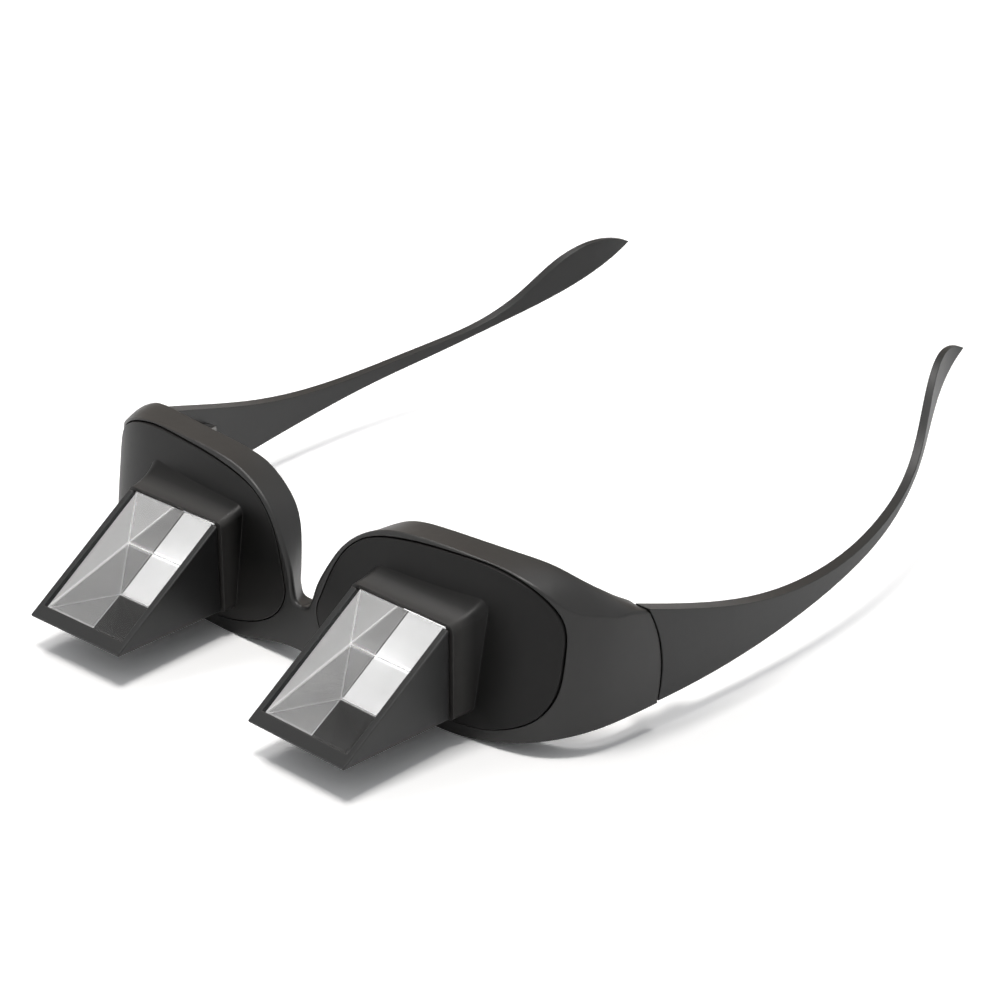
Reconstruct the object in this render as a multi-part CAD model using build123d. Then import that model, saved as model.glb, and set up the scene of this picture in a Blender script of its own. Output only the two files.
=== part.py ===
"""Prism bed glasses, a wraparound frame with one bent-view prism in front of each eye.

Millimetres, +Z up, in the stance in which the pair stands by itself: the brow edge is
down, the nose notch opens upwards and the temples reach back along +Y.
The origin is on the resting plane, below the middle of the whole pair.
"""
from build123d import *
from math import hypot, radians, tan
import os

# Spacing of the eyes and width of the whole front
pupil_distance = 64.0
front_height = 36.3
bridge_front_y = 5.4
front_wrap_depth = 31.0
front_lean_angle = 8.0
lean_pivot_height = 19.0
rim_depth = 7.2
crest_radius = 0.7
end_piece_thickness = 4.4
overrun = 30.0

# Brow flat that the pair stands on
brow_flat_start = 22.0
brow_flat_length = 17.0
bridge_bottom_height = 3.4
end_piece_bottom_height = 6.1
end_piece_top_height = 26.3

# Nose notch and bridge
notch_bottom_height = 12.5
bridge_depth = 4.6

# Front shell walls
web_thickness = 1.8
rim_wall = 2.0
panel_lip = 1.6
panel_gap = 0.3

# Oval front panel with its flared neck
panel_width = 57.4
panel_end_margin = 6.5
panel_height = 33.2
panel_bottom_height = 2.4
panel_inner_x = 4.9
panel_thickness = 1.6
panel_proud = 0.35

# Wedge housing of one prism
housing_wall = 1.45
housing_floor = 2.2
housing_nose_wall = 2.5
housing_nose_land = 0.5
housing_rim = 0.2
housing_front_height = 7.0
housing_rear_height = 6.2
housing_edge_radius = 0.25
housing_toe_angle = 1.0
shadow_gap = 0.6
shadow_gap_depth = 0.6

# Neck between the wedge housing and the panel
neck_overhang = 0.6
neck_top_flare = 3.4
neck_outer_flare = 1.9
neck_inner_flare = 0.5
neck_corner_radius = 1.4
neck_flare_radius = 2.4
neck_length = 8.6

# Prism: right angle at the rear bottom, mirrored leg along the bottom
prism_width = 22.9
prism_leg_height = 16.2
prism_leg_depth = 26.4
prism_rear_y = 1.3
prism_tilt_angle = 1.6
prism_edge_bevel = 0.25
prism_side_gap = 0.1
prism_neck_gap = 0.2
mirror_thickness = 0.6

# Eye plate at the back with its window and four screws
eye_plate_width = 33.0
eye_plate_height = 25.0
eye_plate_thickness = 1.5
eye_plate_corner_radius = 3.5
eye_plate_centre_height = 17.4
eye_window_lip = 0.45
eye_plate_depth = 5.0
screw_head_radius = 1.35
screw_head_height = 0.8
screw_shank_radius = 0.8
screw_hole_gap = 0.1
screw_inset = 2.6
screw_length = 2.0
boss_radius = 2.0
sleeve_wall = 1.3
sleeve_gap = 0.3

# Temple
temple_length = 128.9
temple_root_thickness = 3.6
temple_waist_thickness = 2.0
temple_tip_thickness = 0.9

# Curved seam between the end piece and the temple
seam_setback = 3.4
seam_top_drop = 3.4
seam_bottom_drop = 0.8
seam_gap = 0.25
temple_root_lap = 1.0

# Hinge with its two leaves and its screw
hinge_inset = 5.1
hinge_mid_height = 15.6
hinge_pin_radius = 0.7
hinge_pin_gap = 0.05
knuckle_radius = 1.5
knuckle_height = 2.6
knuckle_gap = 0.1
leaf_thickness = 1.0
leaf_length = 8.0
leaf_setback = 0.6
hinge_head_radius = 1.2
hinge_head_height = 0.6

# Sizes and places that follow from those above
lobe_x = pupil_distance / 2
front_half_width = panel_inner_x + panel_width + panel_end_margin
lean_slope = tan(radians(front_lean_angle))
lobe_height = front_height - notch_bottom_height
prism_bottom_height = housing_rear_height + housing_floor + mirror_thickness
housing_width = prism_width + 2 * (prism_side_gap + housing_wall)
housing_depth = prism_leg_depth - prism_rear_y + housing_nose_wall
housing_top_height = prism_bottom_height + prism_leg_height + housing_rim
hinge_pin_x = front_half_width - hinge_inset
hinge_pin_y = bridge_front_y + front_wrap_depth - hinge_inset
leaf_face_x = hinge_pin_x + knuckle_radius
seam_middle_y = bridge_front_y + front_wrap_depth - seam_setback
temple_start_y = seam_middle_y - temple_root_lap


def scaled(shares, width, height, x=0.0, z=0.0):
    """Points of an outline from shares of its width and height."""
    return [(x + a * width, z + b * height) for a, b in shares]


# Plan line of the front face, from the bridge round to the hinge, in shares of
# the half width and of the wrap depth
front_plan_shares = [
    (0, 0), (0.465, 0.036), (0.756, 0.09), (0.879, 0.18), (0.952, 0.355), (0.991, 0.648), (1.007, 1),
]


def front_line():
    points = [(a * front_half_width, bridge_front_y + b * front_wrap_depth) for a, b in front_plan_shares]
    return Spline(*points, tangents=[(1, 0), (0.05, 1)])


def inset_point(line, share, depth):
    """Point that lies a given depth behind the front line."""
    place = line @ share
    run = line % share
    return (place.X - run.Y * depth, place.Y + run.X * depth)


def behind_line(depth, shares):
    """Curve that lies behind the front line by a depth that is a function of the share."""
    line = front_line()
    return Spline(*[inset_point(line, share, depth(share)) for share in shares])


def strip(near, far):
    """Plan face between two curves of the front."""
    ends = [Line(near @ 1, far @ 1), Line(far @ 0, near @ 0)]
    return make_face(Curve() + [near, ends[0], far, ends[1]])


def lean_up(face):
    """Raise a plan face to a slab that leans back with height."""
    low = -overrun
    high = front_height + overrun
    base = Pos(0, lean_slope * (low - lean_pivot_height), low) * face
    return extrude(base, (high - low) * hypot(1, lean_slope), dir=(0, lean_slope, 1))


slab_shares = [0, 0.3, 0.5, 0.62, 0.72, 0.82, 0.91, 1]


def slab(near, far):
    """Leaning slab between two constant depths behind the front face."""
    curves = [behind_line(lambda share: depth, slab_shares) for depth in (near, far)]
    return lean_up(strip(*curves))


def through(face_outline):
    """Extrude an outline of the front view, drawn in X and Z, along Y through everything."""
    return extrude(Plane.XZ * face_outline, front_wrap_depth + overrun, both=True)


def across(face_outline, width=4 * front_half_width):
    """Extrude a side view, drawn in Y and Z, to both sides of its plane."""
    return extrude(Plane.YZ * face_outline, width / 2, both=True)


# Places along the front line at which the depth of the shell is set
depth_shares = [0, 0.03, 0.06, 0.09, 0.125, 0.3, 0.5, 0.62, 0.7, 0.78, 0.88, 1]
# Stretch of the front line over which the rim thins to the end piece
thinning_start_share = 0.62
thinning_end_share = 0.88
# Stretch of the front line over which the bridge grows to the full rim
bridge_start_share = 0.03
bridge_end_share = 0.125


def ease(value, start, end):
    """Smooth step from 0 at the start to 1 at the end."""
    blend = min(1, max(0, (value - start) / (end - start)))
    return blend * blend * (3 - 2 * blend)


def shell_depth(share):
    """Depth of the rim, which thins to the bridge on one side and to the end piece on the other."""
    end = ease(share, thinning_start_share, thinning_end_share)
    bridge = 1 - ease(share, bridge_start_share, bridge_end_share)
    return rim_depth + (end_piece_thickness - rim_depth) * end + (bridge_depth - rim_depth) * bridge


# Crest of the front face and rear edge of the shell, from the bottom of the notch over the
# lobe to the hinge, in shares of the front line and of the lobe's height above the notch
crest_shares = [
    (0, 0), (0.01, 0.013), (0.019, 0.059), (0.028, 0.155), (0.042, 0.282), (0.074, 0.483),
    (0.11, 0.672), (0.16, 0.832), (0.23, 0.941), (0.315, 0.987), (0.427, 1), (0.517, 0.987),
    (0.6, 0.943), (0.66, 0.857), (0.701, 0.769), (0.747, 0.697), (0.798, 0.655), (0.854, 0.618),
    (0.916, 0.584), (1, 0.546),
]
rear_edge_shares = [
    (0, -0.025), (0.031, -0.021), (0.054, 0.017), (0.064, 0.13), (0.07, 0.282), (0.087, 0.504),
    (0.124, 0.685), (0.174, 0.811), (0.236, 0.916), (0.317, 0.966), (0.427, 0.983), (0.517, 0.983),
    (0.6, 0.975), (0.667, 0.95), (0.725, 0.908), (0.773, 0.849), (0.82, 0.773), (0.869, 0.676),
    (0.918, 0.563), (1, 0.37),
]
# Depths at which the top surface is set, from a little before the front face to behind the rear
roll_shares = [-0.4, 0.2, 0.8, 1.4]


def top_point(line, level, depth_share):
    """Point of the top surface, which rolls from the crest up to the rear edge in a parabola."""
    (front, low), (rear, high) = crest_shares[level], rear_edge_shares[level]
    x, y = inset_point(line, front + (rear - front) * depth_share, shell_depth(rear) * depth_share)
    z = notch_bottom_height + lobe_height * (low + (high - low) * (1 - (1 - depth_share) ** 2))
    return (x, y + lean_slope * (z - lean_pivot_height), z)


def top_cap():
    """All that lies above the top surface of one half, drawn a little past the middle."""
    line = front_line()
    rows = [[top_point(line, i, share) for share in roll_shares] for i in range(len(crest_shares))]
    beyond = [[(-x, y, z) for x, y, z in row] for row in rows[2:0:-1]]
    grid = [[Vector(*place) for place in row] for row in beyond + rows]
    surface = Face.make_surface_from_array_of_points(grid)
    return extrude(surface, 2 * overrun, dir=(0, lean_slope, 1))


def half_outline():
    """Front view of one half of the shell above its bottom edge, out past the hinge."""
    flat_end = brow_flat_start + brow_flat_length
    far_x = front_half_width + end_piece_thickness
    high = front_height + overrun
    edges = [
        Spline((0, bridge_bottom_height), (brow_flat_start, 0), tangents=[(1, 0), (1, 0)]),
        Line((brow_flat_start, 0), (flat_end, 0)),
        Spline((flat_end, 0), (far_x, end_piece_bottom_height), tangents=[(1, 0), (1, 0.1)]),
        Polyline((far_x, end_piece_bottom_height), (far_x, high), (0, high), (0, bridge_bottom_height)),
    ]
    return make_face(Curve() + edges)


# Oval of the front panel in shares of its width and height
panel_shares = [
    (0, 0.38), (0.045, 0.59), (0.106, 0.77), (0.19, 0.885), (0.294, 0.944), (0.43, 0.98), (0.57, 0.997),
    (0.7, 1), (0.84, 0.965), (0.935, 0.883), (0.98, 0.79), (1, 0.53), (0.985, 0.29), (0.945, 0.175),
    (0.865, 0.087), (0.76, 0.03), (0.6, 0.005), (0.34, 0), (0.17, 0.06), (0.07, 0.14), (0.01, 0.25),
]


def panel_outline(grow=0.0):
    """Face of the oval, grown or shrunk by a constant width."""
    points = scaled(panel_shares, panel_width, panel_height, panel_inner_x, panel_bottom_height)
    oval = Spline(*points, periodic=True)
    if grow:
        steps = [i / (2 * len(points)) for i in range(2 * len(points))]
        oval = Spline(*[inset_point(oval, step, grow) for step in steps], periodic=True)
    return make_face(oval)


def seam_face(shift, reach):
    """Side view of all that lies beyond the curved hinge seam, in front of it or behind it."""
    top = (seam_middle_y - seam_top_drop + shift, end_piece_top_height)
    middle = (seam_middle_y + shift, hinge_mid_height)
    bottom = (seam_middle_y - seam_bottom_drop + shift, end_piece_bottom_height)
    arc = ThreePointArc(bottom, middle, top)
    high = front_height + overrun
    frame = Polyline(top, (top[0], high), (reach, high), (reach, -overrun), (bottom[0], -overrun), bottom)
    return make_face(Curve() + [arc, frame])


def toe(piece):
    """Turn a piece of the optical unit about the middle of its rear edge."""
    return Pos(lobe_x, 0, 0) * Rot(0, 0, -housing_toe_angle) * piece


# Depths behind the front face at which the panel, the web and the eye plate lie
web_rear_depth = panel_thickness + web_thickness
seat_y = bridge_front_y + front_plan_shares[1][1] * front_wrap_depth + eye_plate_depth
seat_plane = Plane(
    origin=(lobe_x, seat_y, lean_pivot_height), x_dir=(-1, 0, 0), z_dir=(0, 1, -lean_slope)
)
plate_drop = (eye_plate_centre_height - lean_pivot_height) * hypot(1, lean_slope)

bore_width = prism_width + 2 * prism_neck_gap
bore_bottom = prism_bottom_height - prism_neck_gap
bore_top = prism_bottom_height + prism_leg_height + prism_neck_gap
bore_height = bore_top - bore_bottom
bore_middle = (bore_top + bore_bottom) / 2
eye_window_width = bore_width - 2 * eye_window_lip
eye_window_height = bore_height - 2 * eye_window_lip
neck_front_y = shadow_gap


def bore(width, height, start, end):
    """Straight passage along Y, centred on the light path."""
    return toe(Pos(0, (start + end) / 2, bore_middle) * Box(width, end - start, height))


def screw_places():
    half_w = eye_plate_width / 2 - screw_inset
    half_h = eye_plate_height / 2 - screw_inset
    return [(x, plate_drop + z) for x in (-half_w, half_w) for z in (-half_h, half_h)]


def crest_edge(shell):
    """Edge between the front face and the top surface."""
    front = shell.faces().sort_by(SortBy.AREA)[-1]
    return front.edges().sort_by(SortBy.LENGTH)[-1]


def half_frame():
    """Right half of the wraparound shell with its rim, web, bosses and end piece."""
    band = lean_up(strip(front_line(), behind_line(shell_depth, depth_shares)))
    shell = band & through(half_outline()) & across(seam_face(0, -overrun * 2))
    shell = shell - top_cap()
    shell = fillet(crest_edge(shell), crest_radius)
    dish = through(panel_outline(panel_lip - rim_wall)) - slab(-rim_depth, web_rear_depth)
    recess = through(panel_outline(panel_gap)) & slab(-rim_depth, panel_thickness)
    shell = shell - dish - recess
    for place in screw_places():
        post = seat_plane * Pos(*place, 0) * Cylinder(
            boss_radius, rim_depth, align=(Align.CENTER, Align.CENTER, Align.MAX)
        )
        shell = shell + (post - slab(-rim_depth, panel_thickness + web_thickness / 2))
    pilot = Cylinder(screw_shank_radius, screw_length, align=(Align.CENTER, Align.CENTER, Align.MAX))
    for place in screw_places():
        shell = shell - seat_plane * Pos(*place, 0) * pilot
    sleeve = 2 * (sleeve_wall + sleeve_gap)
    shell = shell - bore(bore_width + sleeve, bore_height + sleeve, -overrun, overrun)
    return shell - hinge_pocket()


def hinge_stack():
    """Height of the three knuckles together."""
    return 3 * knuckle_height + 2 * knuckle_gap


def hinge_axis():
    return Pos(hinge_pin_x, hinge_pin_y, hinge_mid_height)


def leaf(side):
    """Flat leaf of the hinge in front of the pin (side -1) or behind it (side 1)."""
    start = knuckle_radius + leaf_setback
    middle_y = side * (start + leaf_length) / 2 + side * start / 2
    x = leaf_face_x - leaf_thickness / 2 - hinge_pin_x
    return hinge_axis() * Pos(x, middle_y, 0) * Box(leaf_thickness, leaf_length, hinge_stack())


def hinge_pocket():
    """Recess in the end piece for the front leaf, open to the seam, with room for the knuckles."""
    room = 2 * knuckle_gap
    front = knuckle_radius + leaf_setback + leaf_length
    deep = leaf_face_x - hinge_pin_x
    height = hinge_stack() + room
    corner = (Align.MAX, Align.MIN, Align.CENTER)
    seat = Pos(deep, -front, 0) * Box(overrun, front, height, align=corner)
    mouth = Pos(deep + room, 0, 0) * Box(overrun, overrun, height, align=corner)
    turn = Cylinder(knuckle_radius + room, hinge_stack() + 2 * (hinge_head_height + room))
    return hinge_axis() * (seat + mouth + turn)


def knuckle(level):
    """One barrel of the hinge at level -1, 0 or 1."""
    return Pos(0, 0, level * (knuckle_height + knuckle_gap)) * Cylinder(knuckle_radius, knuckle_height)


def web_to_leaf(side, level):
    """Short link from a barrel to its leaf."""
    reach = knuckle_radius + leaf_setback
    x = leaf_face_x - leaf_thickness / 2 - hinge_pin_x
    z = level * (knuckle_height + knuckle_gap)
    return Pos(x, side * reach / 2, z) * Box(leaf_thickness, reach, knuckle_height)


def hinge_part(side, levels):
    """Leaf with its barrels, bored for the screw."""
    piece = leaf(side)
    for level in levels:
        piece = piece + hinge_axis() * (knuckle(level) + web_to_leaf(side, level))
    hole = Cylinder(hinge_pin_radius + hinge_pin_gap, hinge_stack() + overrun)
    return piece - hinge_axis() * hole


def hinge_screw():
    shank = Cylinder(hinge_pin_radius, hinge_stack())
    head = Cylinder(hinge_head_radius, hinge_head_height)
    head = Pos(0, 0, (hinge_stack() + hinge_head_height) / 2) * head
    return hinge_axis() * (shank + head)


# Places along the neck and how far it has flared there, both in shares
neck_flare_shares = [(0, 0), (0.45, 0.2), (1, 1)]


def front_panel():
    """Oval panel, flared neck and rear sleeve in one moulding."""
    plate = through(panel_outline()) & slab(-panel_proud, panel_thickness)
    front_w = housing_width + 2 * neck_overhang
    low = housing_rear_height - neck_overhang
    high = bore_top + neck_overhang
    sections = []
    for share, flare in neck_flare_shares:
        left = -front_w / 2 - neck_inner_flare * flare
        right = front_w / 2 + neck_outer_flare * flare
        top = high + neck_top_flare * flare
        radius = neck_corner_radius + (neck_flare_radius - neck_corner_radius) * flare
        y = neck_front_y + share * neck_length
        spot = Pos((left + right) / 2, (low + top) / 2, 0)
        sections.append(Plane.XZ.offset(-y) * spot * RectangleRounded(right - left, top - low, radius))
    neck = toe(loft(sections))
    neck = neck - slab(panel_thickness / 2, panel_thickness + neck_length)
    sleeve = bore(bore_width + 2 * sleeve_wall, bore_height + 2 * sleeve_wall, neck_length / 2, overrun)
    sleeve = sleeve - slab(-overrun, panel_thickness / 2) - behind_seat()
    body = plate + neck + sleeve
    return body - bore(bore_width, bore_height, -overrun, overrun)


def behind_seat():
    """All that lies behind the seat of the eye plate."""
    size = 4 * overrun
    return seat_plane * Box(size, size, size, align=(Align.CENTER, Align.CENTER, Align.MIN))


def tilt_prism(piece):
    """Seat a piece drawn about the prism's right-angled edge."""
    return toe(Pos(0, prism_rear_y, prism_bottom_height) * Rot(prism_tilt_angle, 0, 0) * piece)


def housing():
    """Open wedge box: floor, two sides and the front land."""
    side = Polyline(
        (-housing_depth, housing_front_height), (-housing_depth, housing_front_height + housing_nose_land),
        (0, housing_top_height), (0, housing_rear_height), close=True,
    )
    wedge = across(make_face(side), housing_width)
    rear_edges = wedge.faces().sort_by(Axis.Y)[-1].edges()
    wedge = fillet([edge for edge in wedge.edges() if edge not in rear_edges], housing_edge_radius)
    inset = shadow_gap_depth
    tongue_low = housing_rear_height + inset
    tongue = Pos(0, shadow_gap / 2, (tongue_low + bore_bottom) / 2)
    tongue = tongue * Box(housing_width - 2 * inset, shadow_gap, bore_bottom - tongue_low)
    for x in (-1, 1):
        wall_middle = x * (housing_width / 2 - inset / 2 - housing_wall / 2)
        height = housing_top_height - tongue_low - inset
        wall = Pos(wall_middle, shadow_gap / 2, tongue_low + height / 2)
        tongue = tongue + wall * Box(housing_wall - inset, shadow_gap, height)
    cavity_width = prism_width + 2 * prism_side_gap
    cavity_depth = prism_leg_depth + prism_side_gap + overrun
    cavity = Box(cavity_width, cavity_depth, overrun, align=(Align.CENTER, Align.MAX, Align.MIN))
    cavity = Pos(0, overrun, -mirror_thickness) * cavity
    return toe(wedge + tongue) - tilt_prism(cavity)


def prism():
    """Right-angled prism with ground bevels on its edges."""
    side = Polyline((0, 0), (-prism_leg_depth, 0), (0, prism_leg_height), close=True)
    block = across(make_face(side), prism_width)
    return tilt_prism(chamfer(block.edges(), prism_edge_bevel))


def mirror_plate():
    """Silvered plate with its dark backing under the long leg."""
    width = prism_width - 2 * mirror_thickness
    setback = prism_rear_y - neck_front_y + prism_side_gap
    depth = prism_leg_depth - setback - 2 * mirror_thickness
    plate = Box(width, depth, mirror_thickness, align=(Align.CENTER, Align.MAX, Align.MAX))
    return tilt_prism(Pos(0, -setback, 0) * plate)


def eye_plate():
    """Plate behind the eye opening with a window and four screw holes."""
    face = RectangleRounded(eye_plate_width, eye_plate_height, eye_plate_corner_radius)
    window = RectangleRounded(eye_window_width, eye_window_height, screw_head_radius)
    face = face - Pos(0, (bore_middle - eye_plate_centre_height) * hypot(1, lean_slope), 0) * window
    plate = extrude(Pos(0, plate_drop, 0) * face, eye_plate_thickness)
    for place in screw_places():
        plate = plate - Pos(*place, 0) * Cylinder(screw_shank_radius + screw_hole_gap, overrun)
    return seat_plane * plate


def eye_plate_screws():
    """Four small pan head screws."""
    shank_length = screw_length + eye_plate_thickness
    screws = []
    for place in screw_places():
        shank = Cylinder(screw_shank_radius, shank_length, align=(Align.CENTER, Align.CENTER, Align.MAX))
        head = Cylinder(screw_head_radius, screw_head_height, align=(Align.CENTER, Align.CENTER, Align.MIN))
        screws.append(seat_plane * Pos(*place, eye_plate_thickness) * (shank + head))
    return Compound(children=screws)


# Plan of the temple: shares of its length, and of the half width for its middle line
temple_plan_shares = [
    (-0.04, 0.966), (0.109, 1.007), (0.295, 1.022), (0.481, 1.003), (0.667, 0.926), (0.791, 0.834),
    (0.884, 0.752), (1, 0.702),
]
# Side view of the temple: shares of its length and of the height of the front
temple_top_shares = [
    (-0.04, 0.761), (0.109, 0.59), (0.233, 0.474), (0.357, 0.416), (0.481, 0.416), (0.605, 0.462),
    (0.729, 0.568), (0.79, 0.699), (0.853, 0.887), (0.915, 0.978), (0.965, 0.966), (1, 0.915),
]
temple_bottom_shares = [
    (-0.04, 0.158), (0.233, 0.226), (0.481, 0.33), (0.605, 0.398), (0.729, 0.51), (0.853, 0.675),
    (0.954, 0.838), (1, 0.915),
]
# Places along the temple's middle line at which its thickness is set, and its slimmest place
temple_line_shares = [0, 0.1, 0.22, 0.36, 0.5, 0.64, 0.76, 0.86, 0.94, 1]
waist_share = 0.6


def temple_thickness(share):
    """Thick at the root, slim at the waist, thin along the blade and sharp at the tip."""
    if share < waist_share:
        blend = share / waist_share
        return temple_root_thickness + (temple_waist_thickness - temple_root_thickness) * blend
    blend = ((share - waist_share) / (1 - waist_share)) ** 3
    return temple_waist_thickness + (temple_tip_thickness - temple_waist_thickness) * blend


def temple_plan():
    """Plan face of the temple between its outer and inner line."""
    points = [(x * front_half_width, temple_start_y + y * temple_length) for y, x in temple_plan_shares]
    middle = Spline(*points)
    outer = [inset_point(middle, s, -temple_thickness(s) / 2) for s in temple_line_shares]
    inner = [inset_point(middle, s, temple_thickness(s) / 2) for s in temple_line_shares]
    edges = [Spline(*outer), Line(outer[-1], inner[-1]), Spline(*inner), Line(inner[0], outer[0])]
    return make_face(Curve() + edges)


def temple_side():
    """Side view of the temple: tall root, slim waist and a leaf-shaped blade."""
    top = scaled(temple_top_shares, temple_length, front_height, temple_start_y)
    bottom = scaled(temple_bottom_shares, temple_length, front_height, temple_start_y)
    return make_face(Curve() + [Spline(*top), Spline(*bottom), Line(bottom[0], top[0])])


def temple():
    """Temple with the pad that carries its hinge leaf."""
    arm = extrude(temple_plan(), 2 * front_height) & across(temple_side())
    arm = arm - across(seam_face(seam_gap, -overrun * 2))
    start = knuckle_radius + leaf_setback
    pad_depth = temple_root_thickness / 2
    x = leaf_face_x - hinge_pin_x + pad_depth / 2
    pad = hinge_axis() * Pos(x, start + leaf_length / 2, 0) * Box(pad_depth, leaf_length, hinge_stack())
    turn = Cylinder(knuckle_radius + 2 * knuckle_gap, hinge_stack() + 4 * knuckle_gap)
    flat = leaf_face_x - hinge_pin_x - leaf_thickness
    seat = Pos(flat, start + leaf_length / 2, 0)
    seat = seat * Box(2 * leaf_thickness, leaf_length, hinge_stack())
    return arm + pad - hinge_axis() * (turn + seat)


def both(name, piece):
    """The piece on the near side and its mirror image on the far side."""
    return {f"{name}_right": piece, f"{name}_left": mirror_image(piece)}


def mirror_image(piece):
    images = [mirror(solid, Plane.YZ) for solid in piece.solids()]
    return images[0] if len(images) == 1 else Compound(children=images)


right_half = half_frame()
pieces = {"front_frame": right_half + mirror_image(right_half)}
pieces.update(both("front_panel", front_panel()))
pieces.update(both("prism_housing", housing()))
pieces.update(both("prism", prism()))
pieces.update(both("prism_mirror", mirror_plate()))
pieces.update(both("eye_plate", eye_plate()))
pieces.update(both("eye_plate_screws", eye_plate_screws()))
pieces.update(both("temple", temple()))
pieces.update(both("hinge_front_leaf", hinge_part(-1, (-1, 1))))
pieces.update(both("hinge_temple_leaf", hinge_part(1, (0,))))
pieces.update(both("hinge_screw", hinge_screw()))

whole = Compound(children=[solid for piece in pieces.values() for solid in piece.solids()]).bounding_box()
middle_y = (whole.min.Y + whole.max.Y) / 2
print("eye line to origin", round(middle_y, 4))

os.makedirs("parts", exist_ok=True)
for name, piece in pieces.items():
    export_step(Pos(0, -middle_y, 0) * piece, f"parts/{name}.step")
    print(name, round(piece.volume, 1))
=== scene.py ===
from math import cos, radians, sin

import bmesh
import bpy
from mathutils import Matrix, Vector


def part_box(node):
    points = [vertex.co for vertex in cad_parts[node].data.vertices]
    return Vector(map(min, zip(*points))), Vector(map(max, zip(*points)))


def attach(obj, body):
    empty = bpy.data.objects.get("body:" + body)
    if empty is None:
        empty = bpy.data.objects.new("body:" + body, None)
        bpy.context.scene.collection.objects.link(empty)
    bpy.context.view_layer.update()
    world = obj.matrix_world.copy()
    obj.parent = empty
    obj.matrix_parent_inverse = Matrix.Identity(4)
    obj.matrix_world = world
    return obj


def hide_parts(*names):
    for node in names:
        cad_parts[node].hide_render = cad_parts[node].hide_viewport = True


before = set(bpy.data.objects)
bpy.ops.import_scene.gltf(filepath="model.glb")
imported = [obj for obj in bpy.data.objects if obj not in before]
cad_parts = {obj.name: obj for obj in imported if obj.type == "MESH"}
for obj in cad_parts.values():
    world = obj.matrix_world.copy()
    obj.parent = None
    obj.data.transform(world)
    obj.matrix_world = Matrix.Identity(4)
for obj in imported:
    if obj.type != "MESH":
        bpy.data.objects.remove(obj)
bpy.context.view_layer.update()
mm = 0.001
print("frame loaded")


# one socket of a node tree, so that shader maths reads as plain expressions
class Val:
    def __init__(self, tree, out):
        self.tree = tree
        self.out = out

    def math(self, operation, other, flip=False, clamp=False):
        node = self.tree.nodes.new("ShaderNodeMath")
        node.operation = operation
        node.use_clamp = clamp
        pair = (other, self) if flip else (self, other)
        for socket, value in zip(node.inputs, pair):
            setSocket(self.tree, socket, value)
        return Val(self.tree, node.outputs[0])

    def __add__(self, other): return self.math("ADD", other)
    def __radd__(self, other): return self.math("ADD", other)
    def __sub__(self, other): return self.math("SUBTRACT", other)
    def __rsub__(self, other): return self.math("SUBTRACT", other, flip=True)
    def __mul__(self, other): return self.math("MULTIPLY", other)
    def __rmul__(self, other): return self.math("MULTIPLY", other)

    def most(self, other): return self.math("MAXIMUM", other)
    def held(self): return self.math("ADD", 0.0, clamp=True)     # kept between 0 and 1


def setSocket(tree, socket, value):
    if isinstance(value, Val):
        tree.links.new(value.out, socket)
    else:
        socket.default_value = value


def setStops(node, stops):
    ramp = node.color_ramp
    while len(ramp.elements) < len(stops):
        ramp.elements.new(0.5)
    for element, (place, colour) in zip(ramp.elements, stops):
        element.position = place
        element.color = colour


# a node tree with one method for any node
class Nodes:
    def __init__(self, tree):
        self.tree = tree

    def node(self, kind, settings=None, inputs=None, out=0):
        node = self.tree.nodes.new(kind)
        for key, value in (settings or {}).items():
            if key == "stops":
                setStops(node, value)
            else:
                setattr(node, key, value)
        for key, value in (inputs or {}).items():
            setSocket(self.tree, node.inputs[key], value)
        return Val(self.tree, node.outputs[out])

    def ramp(self, value, stops):
        return self.node("ShaderNodeValToRGB", {"stops": stops}, {"Fac": value})

    # a Mix node's colours are its inputs 6 and 7 and its output 2
    def blend(self, amount, first, second, mode="MIX"):
        settings = {"data_type": "RGBA", "blend_type": mode}
        return self.node("ShaderNodeMix", settings, {0: amount, 6: first, 7: second}, out=2)

    def dot(self, first, second):
        settings = {"operation": "DOT_PRODUCT"}
        return self.node("ShaderNodeVectorMath", settings, {0: first, 1: second}, out="Value")

    # 1 for the rays that see the studio's white: camera, gloss and glass
    def seen(self):
        path = self.node("ShaderNodeLightPath", out="Is Camera Ray")
        outs = path.out.node.outputs
        glossy, through = Val(self.tree, outs["Is Glossy Ray"]), Val(self.tree, outs["Is Transmission Ray"])
        return path.most(glossy).most(through)


# a material with its shader
class Finish(Nodes):
    def __init__(self, name):
        self.mat = bpy.data.materials.new(name)
        self.mat.use_nodes = True
        super().__init__(self.mat.node_tree)
        self.shader = self.tree.nodes["Principled BSDF"]

    # sets the shader's sockets, with _ for the spaces in their names
    def set(self, **values):
        for key, value in values.items():
            setSocket(self.tree, self.shader.inputs[key.replace("_", " ")], value)

    def point(self):
        return self.node("ShaderNodeTexCoord", out="Object")

    def noise(self, scale, detail=3.0, roughness=0.5, stretch=None):
        where = self.point()
        if stretch:
            where = self.node("ShaderNodeMapping", {}, {"Vector": where, "Scale": stretch})
        return self.node("ShaderNodeTexNoise", {}, {
            "Vector": where, "Scale": scale, "Detail": detail, "Roughness": roughness})

    # from one colour to the other over the middle of a noise
    def shades(self, value, low, high, span=(0.3, 0.7)):
        return self.ramp(value, [(span[0], low), (span[1], high)])

    def bump(self, height, strength, distance, normal=None):
        inputs = {"Height": height, "Strength": strength, "Distance": distance}
        if normal:
            inputs["Normal"] = normal
        return self.node("ShaderNodeBump", {}, inputs)

    # the surface's normal, rolled over its edges
    def rolled(self, radius, samples=6):
        return self.node("ShaderNodeBevel", {"samples": samples}, {"Radius": radius})

    # 0 on the flats and 1 along the edges
    def edges(self, radius, sharpness):
        same = self.dot(self.rolled(radius), self.node("ShaderNodeNewGeometry", out="Normal"))
        return ((1 - same) * sharpness).held()


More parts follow.
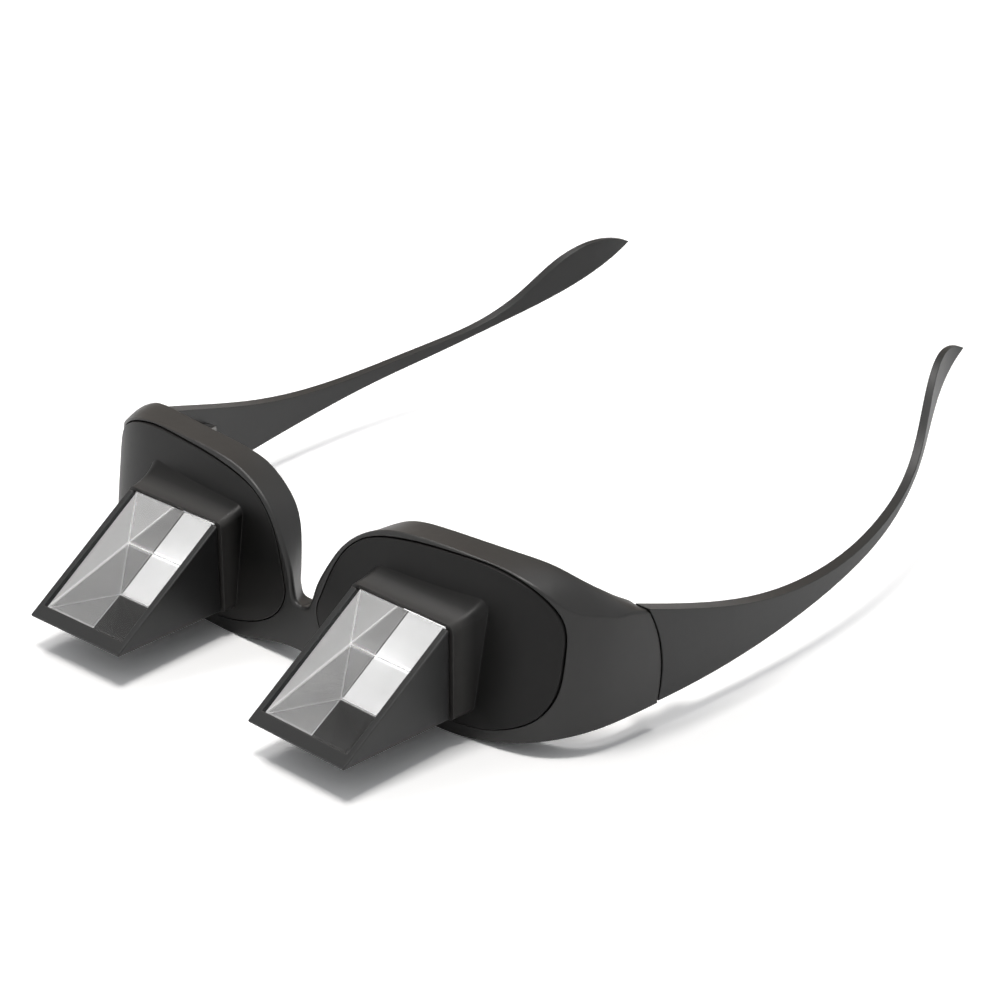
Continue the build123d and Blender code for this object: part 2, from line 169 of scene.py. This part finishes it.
def grey(level, warm=0.0):
    return (level * (1 + warm), level, level * (1 - warm), 1)


plasticLook = {
    "dark": 0.0085, "light": 0.0115, "warmth": 0.04, "wornAndHighlit": 0.03, "gloss": 0.46,
    "rough": 0.39, "scuffSpread": 0.08, "patchSpread": 0.06, "polish": 0.12,
    "edge": 0.3 * mm, "wearAndHighlight": 2.5,
    "grainScale": 4200.0, "grainHeight": 0.12, "grainDepth": 0.02 * mm,
    "patchScale": 90.0, "scuffScale": 700.0,
}


# moulded black plastic with a fine grain, faint patches, and edges polished by handling and painted lighter,
# partly as wear and partly as a painted highlight
def satinPlastic(name, **changes):
    look = {**plasticLook, **changes}
    finish = Finish(name)
    grain = finish.noise(look["grainScale"], detail=2.0)
    patches = finish.noise(look["patchScale"], detail=4.0)
    scuffs = finish.noise(look["scuffScale"], detail=5.0, roughness=0.65)
    # painted highlight and wear: the colour turns lighter along the edges, in patches
    wornAndHighlit = finish.edges(look["edge"], look["wearAndHighlight"]) * scuffs
    mouldedAndPaintedLight = finish.shades(patches, grey(look["dark"], look["warmth"]), grey(look["light"], look["warmth"]))
    if "collar" in look:     # painted light and shade: the collar is painted paler, as if lit, than the panel's face, which is painted darker as if in shade
        along = finish.node("ShaderNodeSeparateXYZ", {}, {"Vector": finish.point()}, out="Y")
        litCollarMask = ((look["collarStart"] - along) * (1 / look["collarReach"])).held()
        mouldedAndPaintedLight = finish.blend(litCollarMask, mouldedAndPaintedLight, grey(look["collar"], look["warmth"]))
    rough = look["rough"] + (scuffs - 0.5) * look["scuffSpread"] + (patches - 0.5) * look["patchSpread"]
    finish.set(
        Base_Color=finish.blend(wornAndHighlit, mouldedAndPaintedLight, grey(look["wornAndHighlit"], look["warmth"])),
        Roughness=rough - wornAndHighlit * look["polish"],
        Normal=finish.bump(grain, look["grainHeight"], look["grainDepth"], finish.rolled(look["edge"])),
        Specular_IOR_Level=look["gloss"])
    return finish.mat


blackPlastic = satinPlastic("satin black plastic")
# painted shade: the front panel's face is a darker copy of the plastic, as if in shade, with a collar painted
# paler as if lit
panelPaintedShadeAndLight = satinPlastic(
    "front panel plastic with painted shade and light", dark=0.004, light=0.0055, gloss=0.22, rough=0.42,
    collar=0.034, collarStart=-61.0 * mm, collarReach=3.0 * mm)
templePlastic = satinPlastic("temple plastic", warmth=0.0, gloss=0.4, rough=0.42)
housingPlastic = satinPlastic("prism housing plastic", warmth=-0.02, edge=0.4 * mm)
platePlastic = satinPlastic("eye plate plastic", dark=0.008, light=0.011, rough=0.5)


def opticalGlass(name, index):
    finish = Finish(name)
    finish.set(Base_Color=(1, 1, 1, 1), Roughness=0.0, IOR=index, Transmission_Weight=1.0)
    return finish.mat


groundLook = {
    "grainScale": 6000.0, "grainHeight": 0.05, "grainDepth": 0.01 * mm, "cloudScale": 120.0,
    "rough": 0.75, "roughSpread": 0.2, "span": (0.35, 0.65), "glowLow": 0.94, "glowWarmth": 0.01,
}


# ground glass: the sides of a prism, or its narrow bevels, which glow with painted light
def groundGlass(name, low, high, glow):
    look = groundLook
    finish = Finish(name)
    frosting = finish.noise(look["grainScale"], detail=4.0, roughness=0.7)
    clouds = finish.noise(look["cloudScale"])
    paintedGlow = finish.shades(     # painted light: the frosting glows by emission, in place of the light it would scatter
        clouds, grey(glow * look["glowLow"], look["glowWarmth"]), grey(glow, look["glowWarmth"]), look["span"])
    finish.set(
        Base_Color=finish.shades(frosting * 0.5 + clouds * 0.5, grey(low), grey(high), look["span"]),
        Roughness=look["rough"] + frosting * look["roughSpread"],
        Normal=finish.bump(frosting, look["grainHeight"], look["grainDepth"]),
        Emission_Color=paintedGlow, Emission_Strength=1.0)
    return finish.mat


silverLook = {"low": 0.95, "high": 0.98, "streakScale": 400.0, "haze": 0.01}


def silvering(name):
    look = silverLook
    finish = Finish(name)
    streaks = finish.noise(look["streakScale"])
    finish.set(
        Base_Color=finish.shades(streaks, grey(look["low"]), grey(look["high"])),
        Metallic=1.0, Roughness=streaks * look["haze"])
    return finish.mat


steelLook = {
    "grainScale": 3000.0, "grainStretch": (1, 0.1, 1), "grainHeight": 0.15, "grainDepth": 0.01 * mm,
    "tarnishScale": 500.0, "lowWarmth": 0.02, "highWarmth": 0.01,
    "rough": 0.26, "roughSpread": 0.14, "edge": 0.08 * mm,
}


# stamped or turned steel with a drawn grain and a little tarnish
def hingeSteel(name, low, high):
    look = steelLook
    finish = Finish(name)
    grain = finish.noise(look["grainScale"], stretch=look["grainStretch"])
    tarnish = finish.noise(look["tarnishScale"], detail=4.0)
    finish.set(
        Base_Color=finish.shades(tarnish, grey(low, look["lowWarmth"]), grey(high, look["highWarmth"])),
        Metallic=1.0, Roughness=look["rough"] + grain * look["roughSpread"],
        Normal=finish.bump(grain, look["grainHeight"], look["grainDepth"], finish.rolled(look["edge"])))
    return finish.mat


glass = opticalGlass("polished optical glass", index=1.511)
# painted light: the ground sides glow a little and the bevels more, as painted bright lines
groundSide = groundGlass("ground prism side", low=0.87, high=0.9, glow=0.09)
groundBevel = groundGlass("ground prism bevel", low=0.9, high=0.95, glow=0.24)
silver = silvering("silvering")
steel = hingeSteel("screw steel", low=0.46, high=0.58)
blackSteel = hingeSteel("blackened hinge steel", low=0.12, high=0.18)

nodeFinish = {
    "front_frame": blackPlastic, "front_panel": panelPaintedShadeAndLight, "prism_housing": housingPlastic,
    "temple": templePlastic, "prism": glass, "prism_mirror": silver, "eye_plate": platePlastic,
    "eye_plate_screws": steel, "hinge_front_leaf": blackSteel, "hinge_temple_leaf": blackSteel,
    "hinge_screw": steel,
}
for name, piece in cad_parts.items():
    stem = name.removesuffix("_right").removesuffix("_left")
    piece.data.materials.clear()
    piece.data.materials.append(nodeFinish[stem])
print("materials set")


prismLook = {
    "middle": 32.0, "rear": 1.3, "bottom": 9.0, "depth": 26.4, "height": 16.2, "width": 22.9,
    "bevel": 0.2, "tilt": 1.6, "toe": -1.0, "eyeLine": 66.5408,
}
prismFinishes = (glass, silver, groundSide, groundBevel)
glassSlot, silverSlot, sideSlot, bevelSlot = range(4)


# the right-angled prism: polished window and eye faces, silvered floor, ground sides and bevels
def makePrism(side, sideSign):
    look = prismLook
    half = look["width"] / 2
    section = [(0, 0), (-look["depth"], 0), (0, look["height"])]
    mesh = bmesh.new()
    rings = [[mesh.verts.new((x, y, z)) for y, z in section] for x in (-half, half)]
    for i, slot in enumerate((silverSlot, glassSlot, glassSlot)):     # floor, window slope, eye face
        j = (i + 1) % len(section)
        face = mesh.faces.new([rings[0][i], rings[0][j], rings[1][j], rings[1][i]])
        face.material_index = slot
    for ring in rings:
        mesh.faces.new(ring).material_index = sideSlot
    bmesh.ops.recalc_face_normals(mesh, faces=mesh.faces)
    bmesh.ops.bevel(
        mesh, geom=mesh.edges[:] + mesh.verts[:], offset=look["bevel"], segments=1, affect="EDGES",
        material=bevelSlot)
    place = Matrix.Translation((look["middle"], 0, 0)) @ Matrix.Rotation(radians(look["toe"]), 4, "Z")
    place = place @ Matrix.Translation((0, look["rear"], look["bottom"]))
    place = place @ Matrix.Rotation(radians(look["tilt"]), 4, "X")
    place = Matrix.Scale(mm, 4) @ Matrix.Translation((0, -look["eyeLine"], 0)) @ place
    mesh.transform(place)
    if sideSign < 0:
        mesh.transform(Matrix.Scale(-1, 4, (1, 0, 0)))
        bmesh.ops.reverse_faces(mesh, faces=mesh.faces)
    data = bpy.data.meshes.new("glassPrism_" + side)
    mesh.to_mesh(data)
    mesh.free()
    for finish in prismFinishes:
        data.materials.append(finish)
    piece = bpy.data.objects.new("glassPrism_" + side, data)
    bpy.context.scene.collection.objects.link(piece)
    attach(piece, "front")
    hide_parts("prism_" + side)


for side, sideSign in (("right", 1), ("left", -1)):
    makePrism(side, sideSign)
print("prisms made")


# a welded copy of a CAD node, ready for more modifiers
def weldedCopy(name, node, gap):
    piece = bpy.data.objects.new(name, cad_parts[node].data.copy())
    bpy.context.scene.collection.objects.link(piece)
    weld = piece.modifiers.new("weld", "WELD")
    weld.merge_threshold = gap * mm
    return piece


def applyModifiers(piece):
    shape = bpy.data.meshes.new_from_object(piece.evaluated_get(bpy.context.evaluated_depsgraph_get()))
    piece.modifiers.clear()
    piece.data = shape


screwLook = {
    "slotLength": 1.9, "slotWidth": 0.34, "slotDepth": 0.42, "turns": (12, 71, 38, 55),
    "crown": 0.05, "weldGap": 0.002,
}


# the cross recesses in the pan heads, cut into a copy of the CAD screws
def cutScrews(side):
    look = screwLook
    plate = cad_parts["eye_plate_" + side].data
    rearFaces = [face for face in plate.polygons if face.normal.y > 0.5]
    back = max(rearFaces, key=lambda face: face.area).normal.copy()
    upright = back.to_track_quat("Z", "Y").to_matrix().to_4x4()
    slot = Matrix.Diagonal((look["slotLength"] * mm, look["slotWidth"] * mm, 2 * look["slotDepth"] * mm, 1))
    node = "eye_plate_screws_" + side
    low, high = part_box(node)
    middle = (low + high) / 2
    cutters = bmesh.new()
    for turn, (across, up) in zip(look["turns"], ((-1, -1), (1, -1), (-1, 1), (1, 1))):
        points = [v.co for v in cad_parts[node].data.vertices
                  if (v.co.x - middle.x) * across > 0 and (v.co.z - middle.z) * up > 0]
        top = max(point.dot(back) for point in points)
        crown = [point for point in points if point.dot(back) > top - look["crown"] * mm]
        centre = sum(crown, Vector()) / len(crown)
        for extra in (0, 90):     # the two slots of a cross
            place = Matrix.Translation(centre) @ upright @ Matrix.Rotation(radians(turn + extra), 4, "Z")
            bmesh.ops.create_cube(cutters, size=1.0, matrix=place @ slot)
    cutData = bpy.data.meshes.new("screwSlots")
    cutters.to_mesh(cutData)
    cutters.free()
    cutter = bpy.data.objects.new("screwSlots", cutData)
    bpy.context.scene.collection.objects.link(cutter)
    piece = weldedCopy("panHeads_" + side, node, look["weldGap"])
    cut = piece.modifiers.new("cut", "BOOLEAN")
    cut.object = cutter
    cut.solver = "EXACT"
    cut.use_self = True
    applyModifiers(piece)
    bpy.data.objects.remove(cutter)
    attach(piece, "front")
    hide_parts(node)


for side in ("right", "left"):
    cutScrews(side)
print("screw heads cut")


templeLook = {"radius": 0.5, "steps": 3, "sharpAngle": 35, "evenness": 80, "weldGap": 0.003}


# a temple with its sharp edges rounded off, as a mould leaves them
def softenTemple(node):
    look = templeLook
    piece = weldedCopy("moulded_" + node, node, look["weldGap"])
    roll = piece.modifiers.new("roll", "BEVEL")
    roll.width = look["radius"] * mm
    roll.segments = look["steps"]
    roll.limit_method = "ANGLE"
    roll.angle_limit = radians(look["sharpAngle"])
    even = piece.modifiers.new("even", "WEIGHTED_NORMAL")
    even.weight = look["evenness"]
    applyModifiers(piece)
    piece.data.polygons.foreach_set("use_smooth", [True] * len(piece.data.polygons))
    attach(piece, node)     # a temple's body has the name of its node
    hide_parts(node)


for side in ("right", "left"):
    softenTemple("temple_" + side)
print("temple edges softened")


stageLook = {
    "floorSize": 3.0, "paperScale": 60.0, "paperLow": 0.93, "paperHigh": 0.95, "paperRough": 0.9,
    "seenWhite": 1.22, "glowStart": 0.25, "glowEnd": 0.9, "glow": 0.4,
    "worldLevel": 0.4, "worldTint": (0.97, 0.985, 1.0, 1), "white": 1.0,
    "roomSide": Vector((-0.62, 0.72, 0.28)).normalized(),
    "roomStops": [(0.7, (1, 1, 1, 1)), (0.93, (0.5, 0.45, 0.4, 1))],
    "ceilingSide": Vector((-0.61, -0.05, 0.79)).normalized(),
    "ceilingStops": [(0.86, (1, 1, 1, 1)), (0.97, (0.55, 0.54, 0.53, 1))],
}


# white to the rays that see it, plain diffuse to the rest, so that it keeps the shadow
def makeFloor():
    look = stageLook
    finish = Finish("studio floor")
    bpy.ops.mesh.primitive_plane_add(size=look["floorSize"], location=(0, 0, 0))
    floor = bpy.context.object
    floor.name = "studioFloor"
    speckle = finish.noise(look["paperScale"], detail=2.0)
    paper = finish.shades(speckle, grey(look["paperLow"]), grey(look["paperHigh"]))
    away = finish.node("ShaderNodeVectorMath", {"operation": "LENGTH"}, {0: finish.point()}, out="Value")
    far = finish.ramp(away, [(look["glowStart"], grey(0.0)), (look["glowEnd"], grey(look["glow"]))])
    finish.set(
        Base_Color=finish.blend(finish.seen(), paper, grey(look["seenWhite"])), Roughness=look["paperRough"],
        Emission_Color=finish.blend(finish.seen(), grey(0.0), far),     # the paper's far end stays white
        Emission_Strength=1.0, Specular_IOR_Level=0.0)
    floor.data.materials.append(finish.mat)


# a plain fill, which glass and gloss see as a white room, dimmer along two directions
def makeWorld():
    look = stageLook
    world = bpy.data.worlds.new("studio")
    bpy.context.scene.world = world
    world.use_nodes = True
    nodes = Nodes(world.node_tree)
    fill = nodes.node("ShaderNodeBackground", {}, {"Color": look["worldTint"], "Strength": look["worldLevel"]})
    dimmed = []
    for part in ("room", "ceiling"):
        towards = nodes.dot(nodes.node("ShaderNodeTexCoord", out="Generated"), look[part + "Side"])
        dimmed.append(nodes.ramp(towards, look[part + "Stops"]))
    white = nodes.node("ShaderNodeBackground", {}, {
        "Color": nodes.blend(1.0, *dimmed, mode="MULTIPLY"), "Strength": look["white"]})
    both = nodes.node("ShaderNodeMixShader", {}, {0: nodes.seen(), 1: fill, 2: white})
    setSocket(world.node_tree, world.node_tree.nodes["World Output"].inputs["Surface"], both)


lampAim = Vector((0, -0.08, 0.02))
lampList = {
    "overhead": {"place": (0.0, -0.12, 0.75), "size": 0.21, "power": 3.1, "colour": (1.0, 0.98, 0.96)},
    "softbox": {"place": (-0.51, -0.40, 0.50), "size": 0.45, "power": 0.2, "colour": (1.0, 0.99, 0.98)},
    "crestLight": {"place": (-0.32, 0.12, 0.64), "size": 0.2, "power": 1.35, "colour": (1.0, 0.98, 0.97)},
}


def makeLamps():
    for name, lamp in lampList.items():
        light = bpy.data.lights.new(name, "AREA")
        light.energy = lamp["power"]
        light.size = lamp["size"]
        light.color = lamp["colour"]
        holder = bpy.data.objects.new(name, light)
        holder.location = lamp["place"]
        holder.rotation_mode = "QUATERNION"
        holder.rotation_quaternion = (lampAim - Vector(lamp["place"])).to_track_quat("-Z", "Y")
        bpy.context.scene.collection.objects.link(holder)


cameraFit = {
    "azimuth": 42.512, "elevation": 25.906, "lens": 108.0, "sensor": 36.0, "distance": 537.616,
    "target": (57.848, 0.0, 56.578), "nearest": 10.0,
}


def makeCamera():
    fit = cameraFit
    azimuth, elevation = radians(fit["azimuth"]), radians(fit["elevation"])
    back = Vector((sin(azimuth) * cos(elevation), -cos(azimuth) * cos(elevation), sin(elevation)))
    data = bpy.data.cameras.new("photoView")
    data.lens = fit["lens"]
    data.sensor_width = fit["sensor"]
    data.clip_start = fit["nearest"] * mm
    camera = bpy.data.objects.new("photoView", data)
    target = Vector(fit["target"]) - Vector((0, prismLook["eyeLine"], 0))
    camera.location = (target + back * fit["distance"]) * mm
    camera.rotation_mode = "QUATERNION"
    camera.rotation_quaternion = (-back).to_track_quat("-Z", "Y")
    bpy.context.scene.collection.objects.link(camera)
    bpy.context.scene.camera = camera


makeFloor()
makeWorld()
makeLamps()
makeCamera()
bpy.context.scene.view_settings.view_transform = "Standard"
print("stage, light and camera set")
